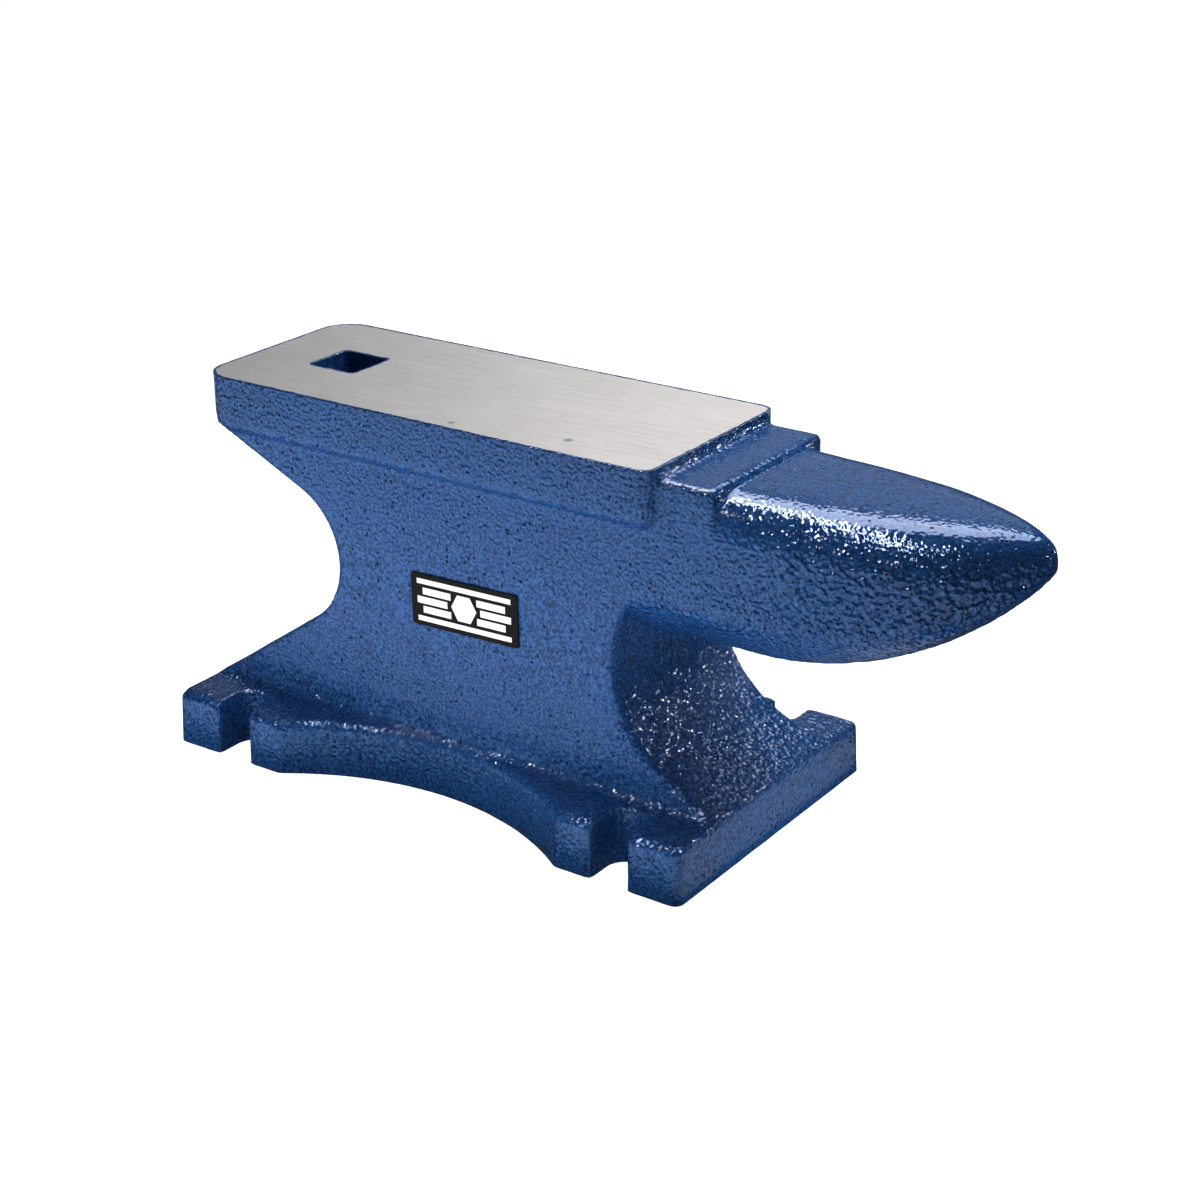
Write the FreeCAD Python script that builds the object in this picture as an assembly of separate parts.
import FreeCAD, Part
import math
import os

# A small cast-iron anvil: one grey-iron casting with a bare ground face, the enamel coat over
# the rest of it, and a badge plate held on one side by an adhesive pad.
#
# Millimetres. X runs along the anvil with the horn at +X, Y across it, and Z up.
# The origin is the centre of the base's underside, and the badge is on the -Y side.

os.makedirs("parts", exist_ok=True)
Vector = FreeCAD.Vector
ALONG_X = Vector(1, 0, 0)
ALONG_Y = Vector(0, 1, 0)
ALONG_Z = Vector(0, 0, 1)

# How far the middle of a quarter arc lies in from its tangents, for a radius of one.
QUARTER_ARC_INSET = 1 - math.sqrt(0.5)

# Enamel coat. Every outer surface of the bare casting lies this far inside the painted one.
COAT = 0.5

# Base plate: a drafted slab with a scallop in each long side and four open bolt slots.
# A shallow lip slopes down along both long sides.
BASE_LENGTH = 280.0
BASE_WIDTH = 152.4
BASE_THICKNESS = 25.0
BASE_DRAFT = 1.0
BASE_CORNER_RADIUS = 3.0
LIP_WIDTH = 3.6
LIP_DROP = 1.6
SLOT_X = 105.0
SLOT_WIDTH = 18.4
SLOT_CENTRE_Y = 63.5
SCALLOP_RADIUS = 134.8
SCALLOP_WAIST_Y = 51.7
SCALLOP_DRAFT = 2.0
SCALLOP_LIP_WIDTH = 2.2

# Each scallop is cut by a revolved shape, turned so that its seam stays clear of the base's sides.
SEAM_TURN = 45.0

# Waist and body: an end profile cut across Y, inside a side section that flares into the base.
# The body's foot is buried in the base by a few millimetres.
BURIED = 5.0
SIDE_HALF_AT_FLARE = 45.0
SIDE_HALF_AT_TOP = 42.9
FLARE_RADIUS = 6.0
SIDE_TOP_Z = 174.0
HEEL_THROAT = (-98.5, 95.0)
HEEL_THROAT_RADIUS = 35.0
HEEL_UNDERSIDE_X = -133.4
HEEL_END_INSET = 2.0
HORN_THROAT = (140.4, 85.0)
HORN_THROAT_RADIUS = 55.3
HORN_ROOT_Z = 115.5

# Face block, ground flat on top, with the square hardie hole through its heel.
FACE_Z = 174.6
FACE_HEEL_X = -135.1
FACE_END_X = 107.4
FACE_WIDTH = 99.4
FACE_BLOCK_THICKNESS = 25.2
HEEL_CORNER_RADIUS = 15.0
END_CORNER_RADIUS = 7.0
FACE_LOWER_RADIUS = 4.0
HARDIE_X = -89.0
HARDIE_SIDE = 25.4

# Step, the lower table between the face and the horn.
STEP_Z = 169.6
STEP_END_X = 133.5
STEP_FILLET = 4.0
STEP_NOSE_RADIUS = 2.0

# Horn: sections that are square-shouldered above and keeled below, and round out at the tip.
HORN_START_X = 88.0
HORN_TAPER_X = 134.0
HORN_TIP_X = 262.0
HORN_TIP_Z = 152.7
HORN_HALF_WIDTH = 43.4
HORN_TOP_Z = 167.0
HORN_KEEL_Z = 86.6
HORN_SIDE_Z = 117.0
HORN_CROWN_POWER = 6.5
HORN_BELLY_POWER = 1.4
ROUND_POWER = 2.0
HORN_STATIONS = 12
HORN_POINTS = 36
HORN_FINE_POINTS = 720
HORN_LAST_STATION = 0.992

# Badge on the -Y side of the waist, and the pad of adhesive behind it. It is stuck on slightly crooked.
BADGE_X = 8.7
BADGE_Z = 90.9
BADGE_TURN = 1.5
BADGE_LENGTH = 58.0
BADGE_HEIGHT = 24.3
BADGE_THICKNESS = 0.8
BADGE_CORNER_RADIUS = 1.0
ADHESIVE_THICKNESS = 0.4
ADHESIVE_MARGIN = 1.0


def line(start, end):
    return Part.LineSegment(start, end).toShape()


def arc(start, middle, end):
    return Part.Arc(start, middle, end).toShape()


def prism(edges, travel):
    """A solid swept straight along travel from a closed loop of edges."""
    return Part.Face(Part.Wire(edges)).extrude(travel)


def rounded_box(low, high, radii):
    """A box whose four upright edges are rounded, by one radius at its -X end and one at its +X end."""
    box = Part.makeBox(high[0] - low[0], high[1] - low[1], high[2] - low[2], Vector(*low))
    uprights = [edge for edge in box.Edges if abs(edge.tangentAt(edge.FirstParameter).z) > 0.9]
    for radius, end_x in zip(radii, (low[0], high[0])):
        corners = [edge for edge in uprights if abs(edge.CenterOfMass.x - end_x) < 1.0]
        points = [edge.CenterOfMass for edge in corners]
        matching = [
            edge for edge in box.Edges if any(edge.CenterOfMass.distanceToPoint(p) < 0.01 for p in points)
        ]
        box = box.makeFillet(radius, matching)
    return box


def tangent_point(outside, centre, radius, side):
    """Where a line from an outside point touches a circle, in the XZ plane; side is +1 or -1."""
    dx = centre[0] - outside[0]
    dz = centre[1] - outside[1]
    distance = math.hypot(dx, dz)
    heading = math.atan2(dz, dx) + side * math.asin(radius / distance)
    reach = math.sqrt(distance**2 - radius**2)
    return (outside[0] + reach * math.cos(heading), outside[1] + reach * math.sin(heading))


def base_outline(half_x, half_y, z):
    """A level rectangle centred on the Z axis, with the base's corner radius."""
    radius = BASE_CORNER_RADIUS
    lean = radius * QUARTER_ARC_INSET
    edges = []
    for end, side in ((1, 1), (-1, 1), (-1, -1), (1, -1)):
        along_y = Vector(end * half_x, side * (half_y - radius), z)
        middle = Vector(end * (half_x - lean), side * (half_y - lean), z)
        along_x = Vector(end * (half_x - radius), side * half_y, z)
        corner = [along_y, middle, along_x] if end == side else [along_x, middle, along_y]
        if edges:
            edges.append(line(edges[-1].Vertexes[-1].Point, corner[0]))
        edges.append(arc(*corner))
    edges.append(line(edges[-1].Vertexes[-1].Point, edges[0].Vertexes[0].Point))
    return Part.Wire(edges)


def base_plate(skin):
    """The drafted plate with its lips, less the scallops and the bolt slots."""
    half_length = BASE_LENGTH / 2 - skin
    half_width = BASE_WIDTH / 2 - skin
    top = BASE_THICKNESS - skin
    top_x = half_length - BASE_DRAFT
    lip_y = half_width - BASE_DRAFT
    outlines = [
        base_outline(half_length, half_width, 0.0),
        base_outline(top_x, lip_y, top - LIP_DROP),
        base_outline(top_x, lip_y - LIP_WIDTH, top),
    ]
    plate = Part.makeLoft(outlines, True, True)
    for side in (-1, 1):
        plate = plate.cut(scallop(side, skin))
        for slot_x in (-SLOT_X, SLOT_X):
            plate = plate.cut(bolt_slot(slot_x, side, SLOT_WIDTH / 2 + skin))
    return plate


def scallop(side, skin):
    """The space cut away along one long side: drafted below, then wider where it cuts its lip."""
    low_radius = SCALLOP_RADIUS + skin
    top_z = BASE_THICKNESS - skin
    lip_z = top_z - LIP_DROP
    lip_radius = low_radius + SCALLOP_DRAFT * lip_z / BASE_THICKNESS
    high_radius = lip_radius + SCALLOP_LIP_WIDTH
    clear_z = 2 * BASE_THICKNESS
    outline = [
        Vector(0, 0, 0),
        Vector(low_radius, 0, 0),
        Vector(lip_radius, 0, lip_z),
        Vector(high_radius, 0, top_z),
        Vector(high_radius, 0, clear_z),
        Vector(0, 0, clear_z),
    ]
    section = Part.Face(Part.makePolygon(outline + outline[:1]))
    space = section.revolve(Vector(0, 0, 0), ALONG_Z, 360)
    space.rotate(Vector(0, 0, 0), ALONG_Z, SEAM_TURN)
    space.translate(Vector(0, side * (SCALLOP_WAIST_Y + SCALLOP_RADIUS), 0))
    return space


def bolt_slot(slot_x, side, radius):
    """The space of one bolt slot: a round inner end that opens to the long side."""
    centre = Vector(slot_x, side * SLOT_CENTRE_Y, 0)
    round_end = Part.makeCylinder(radius, BASE_THICKNESS, centre, ALONG_Z)
    near_y = min(centre.y, side * BASE_WIDTH)
    mouth = Part.makeBox(
        2 * radius, BASE_WIDTH - SLOT_CENTRE_Y, BASE_THICKNESS, Vector(slot_x - radius, near_y, 0)
    )
    return round_end.fuse(mouth)


def side_section(skin):
    """The body's section across Y: near-upright sides that flare into the base's top."""
    seat_z = BASE_THICKNESS - skin
    buried_z = seat_z - BURIED
    low_half = SIDE_HALF_AT_FLARE - skin
    high_half = SIDE_HALF_AT_TOP - skin
    foot_half = low_half + FLARE_RADIUS
    start_x = -BASE_LENGTH
    lean = FLARE_RADIUS * QUARTER_ARC_INSET

    def point(y, z):
        return Vector(start_x, y, z)

    edges = []
    for side in (-1, 1):
        foot = point(side * foot_half, seat_z)
        middle = point(side * (low_half + lean), seat_z + lean)
        shoulder = point(side * low_half, seat_z + FLARE_RADIUS)
        edges.append(line(point(side * foot_half, buried_z), foot))
        edges.append(arc(foot, middle, shoulder))
        edges.append(line(shoulder, point(side * high_half, SIDE_TOP_Z)))
    edges.append(line(point(-high_half, SIDE_TOP_Z), point(high_half, SIDE_TOP_Z)))
    edges.append(line(point(-foot_half, buried_z), point(foot_half, buried_z)))
    return prism(Part.__sortEdges__(edges), ALONG_X * (2 * BASE_LENGTH))


def end_profile(skin):
    """The body seen from the side: heel underside, both throats, horn root, step and its fillet."""
    seat_z = BASE_THICKNESS - skin
    buried_z = seat_z - BURIED
    end_x = BASE_LENGTH / 2 - BASE_DRAFT - skin
    buried_x = end_x - BURIED
    step_z = STEP_Z - skin
    nose_x = STEP_END_X - skin
    face_end_x = FACE_END_X - skin
    root_z = HORN_ROOT_Z + skin
    heel_radius = HEEL_THROAT_RADIUS + skin
    horn_radius = HORN_THROAT_RADIUS + skin
    heel_lip = (HEEL_UNDERSIDE_X + skin, FACE_Z - FACE_BLOCK_THICKNESS + skin)
    inside_face_z = SIDE_TOP_Z

    heel_low = tangent_point((-end_x, seat_z), HEEL_THROAT, heel_radius, -1)
    heel_high = tangent_point(heel_lip, HEEL_THROAT, heel_radius, 1)
    horn_low = tangent_point((end_x, seat_z), HORN_THROAT, horn_radius, 1)
    rise = root_z - HORN_THROAT[1]
    horn_high = (HORN_THROAT[0] - math.sqrt(horn_radius**2 - rise**2), root_z)
    fillet_inset = STEP_FILLET * QUARTER_ARC_INSET
    nose_inset = STEP_NOSE_RADIUS * QUARTER_ARC_INSET
    heel_end = (heel_lip[0] + HEEL_END_INSET, inside_face_z)

    def point(xz):
        return Vector(xz[0], -BASE_WIDTH, xz[1])

    edges = [
        line(point((-buried_x, buried_z)), point((-end_x, seat_z))),
        line(point((-end_x, seat_z)), point(heel_low)),
        arc(point(heel_low), point((HEEL_THROAT[0] + heel_radius, HEEL_THROAT[1])), point(heel_high)),
        line(point(heel_high), point(heel_lip)),
        line(point(heel_lip), point(heel_end)),
        line(point(heel_end), point((face_end_x, inside_face_z))),
        line(point((face_end_x, inside_face_z)), point((face_end_x, step_z + STEP_FILLET))),
        arc(
            point((face_end_x, step_z + STEP_FILLET)),
            point((face_end_x + fillet_inset, step_z + fillet_inset)),
            point((face_end_x + STEP_FILLET, step_z)),
        ),
        line(point((face_end_x + STEP_FILLET, step_z)), point((nose_x - STEP_NOSE_RADIUS, step_z))),
        arc(
            point((nose_x - STEP_NOSE_RADIUS, step_z)),
            point((nose_x - nose_inset, step_z - nose_inset)),
            point((nose_x, step_z - STEP_NOSE_RADIUS)),
        ),
        line(point((nose_x, step_z - STEP_NOSE_RADIUS)), point((nose_x, root_z))),
        line(point((nose_x, root_z)), point(horn_high)),
        arc(point(horn_high), point((HORN_THROAT[0] - horn_radius, HORN_THROAT[1])), point(horn_low)),
        line(point(horn_low), point((end_x, seat_z))),
        line(point((end_x, seat_z)), point((buried_x, buried_z))),
        line(point((buried_x, buried_z)), point((-buried_x, buried_z))),
    ]
    return prism(edges, ALONG_Y * (2 * BASE_WIDTH))


def face_block(skin):
    """The block under the ground face, wider than the body below it."""
    half_width = FACE_WIDTH / 2 - skin
    low = (FACE_HEEL_X + skin, -half_width, FACE_Z - FACE_BLOCK_THICKNESS + skin)
    high = (FACE_END_X - skin, half_width, FACE_Z)
    block = rounded_box(low, high, (HEEL_CORNER_RADIUS - skin, END_CORNER_RADIUS - skin))
    lower_edges = [edge for edge in block.Edges if edge.BoundBox.ZMax < low[2] + 0.01]
    return block.makeFillet(FACE_LOWER_RADIUS, lower_edges)


def evenly_spaced(points, count):
    """Points at equal steps along a closed loop of closely spaced ones."""
    closed = points + points[:1]
    lengths = [0.0]
    for start, end in zip(closed, closed[1:]):
        lengths.append(lengths[-1] + start.distanceToPoint(end))
    spaced = []
    segment = 0
    for index in range(count):
        target = lengths[-1] * index / count
        while lengths[segment + 1] < target:
            segment += 1
        share = (target - lengths[segment]) / (lengths[segment + 1] - lengths[segment])
        spaced.append(closed[segment] + (closed[segment + 1] - closed[segment]) * share)
    return spaced


def horn_section(x, skin):
    """One closed section of the horn in the plane at x, from its top centre line round."""
    run = max(0.0, (x - HORN_TAPER_X) / (HORN_TIP_X - HORN_TAPER_X))
    half_width = HORN_HALF_WIDTH * (1 - run**3.7) ** 0.77 - skin
    top = HORN_TIP_Z + (HORN_TOP_Z - HORN_TIP_Z) * (1 - run**5) ** 0.24 - skin
    keel = HORN_TIP_Z + (HORN_KEEL_Z - HORN_TIP_Z) * (1 - run**1.85) ** 0.78 + skin
    side_z = HORN_TIP_Z + (HORN_SIDE_Z - HORN_TIP_Z) * (1 - run**2) ** 0.6
    crown_power = HORN_CROWN_POWER + (ROUND_POWER - HORN_CROWN_POWER) * run
    belly_power = HORN_BELLY_POWER + (ROUND_POWER - HORN_BELLY_POWER) * run
    points = []
    for index in range(HORN_FINE_POINTS):
        angle = 2 * math.pi * index / HORN_FINE_POINTS
        across = math.sin(angle)
        up = math.cos(angle)
        power = crown_power if up > 0 else belly_power
        height = top - side_z if up > 0 else side_z - keel
        y = math.copysign(abs(across) ** (2 / power), across) * half_width
        z = side_z + math.copysign(abs(up) ** (2 / power), up) * height
        points.append(Vector(x - skin, y, z))
    loop = Part.BSplineCurve()
    loop.interpolate(evenly_spaced(points, HORN_POINTS), PeriodicFlag=True)
    return Part.Wire(loop.toShape())


def horn(skin):
    """The horn, from inside the body to its blunt tip, with stations closing up towards the tip."""
    reach = HORN_TIP_X - HORN_TAPER_X
    stations = [HORN_START_X, (HORN_START_X + HORN_TAPER_X) / 2]
    for index in range(HORN_STATIONS):
        share = index / (HORN_STATIONS - 1)
        stations.append(HORN_TAPER_X + reach * HORN_LAST_STATION * (1 - (1 - share) ** 2))
    return Part.makeLoft([horn_section(x, skin) for x in stations], True, False)


def hardie_hole(skin):
    """The square hole that goes right through the heel."""
    side = HARDIE_SIDE + 2 * skin
    corner = Vector(HARDIE_X - side / 2, -side / 2, HEEL_THROAT[1])
    return Part.makeBox(side, side, FACE_Z, corner)


def anvil(skin):
    """The whole anvil as one solid, with every surface but the face and the underside inset by skin."""
    body = end_profile(skin).common(side_section(skin)).cut([scallop(-1, skin), scallop(1, skin)])
    solid = base_plate(skin).fuse([body, face_block(skin), horn(skin)])
    return solid.cut(hardie_hole(skin))


def badge_layer(length, height, thickness, offset):
    """A thin upright plate that lies on the leaning -Y side, offset outwards from the enamel."""
    low = (-length / 2, -height / 2, 0.0)
    high = (length / 2, height / 2, thickness)
    plate = rounded_box(low, high, (BADGE_CORNER_RADIUS, BADGE_CORNER_RADIUS))
    slope_run = SIDE_TOP_Z - BASE_THICKNESS - FLARE_RADIUS
    slope = (SIDE_HALF_AT_FLARE - SIDE_HALF_AT_TOP) / slope_run
    side_y = SIDE_HALF_AT_FLARE - slope * (BADGE_Z - BASE_THICKNESS - FLARE_RADIUS)
    lean = math.degrees(math.atan(slope))
    plate.rotate(Vector(0, 0, 0), ALONG_Z, BADGE_TURN)
    plate.translate(Vector(0, 0, offset))
    plate.rotate(Vector(0, 0, 0), ALONG_X, 90 - lean)
    plate.translate(Vector(BADGE_X, -side_y, BADGE_Z))
    return plate


painted = anvil(0.0)
casting = anvil(COAT)
nodes = {
    "anvil_casting": casting,
    "enamel_coat": painted.cut(casting),
    "badge_adhesive": badge_layer(
        BADGE_LENGTH - 2 * ADHESIVE_MARGIN, BADGE_HEIGHT - 2 * ADHESIVE_MARGIN, ADHESIVE_THICKNESS, 0.0
    ),
    "badge_plate": badge_layer(BADGE_LENGTH, BADGE_HEIGHT, BADGE_THICKNESS, ADHESIVE_THICKNESS),
}
for name, shape in nodes.items():
    shape.exportStep(f"parts/{name}.step")
    box = shape.BoundBox
    print(
        name, "valid", shape.isValid(), "solids", len(shape.Solids), "faces", len(shape.Faces),
        "cm3", round(shape.Volume / 1000, 1),
        "x", round(box.XMin, 2), round(box.XMax, 2),
        "y", round(box.YMin, 2), round(box.YMax, 2),
        "z", round(box.ZMin, 2), round(box.ZMax, 2),
    )
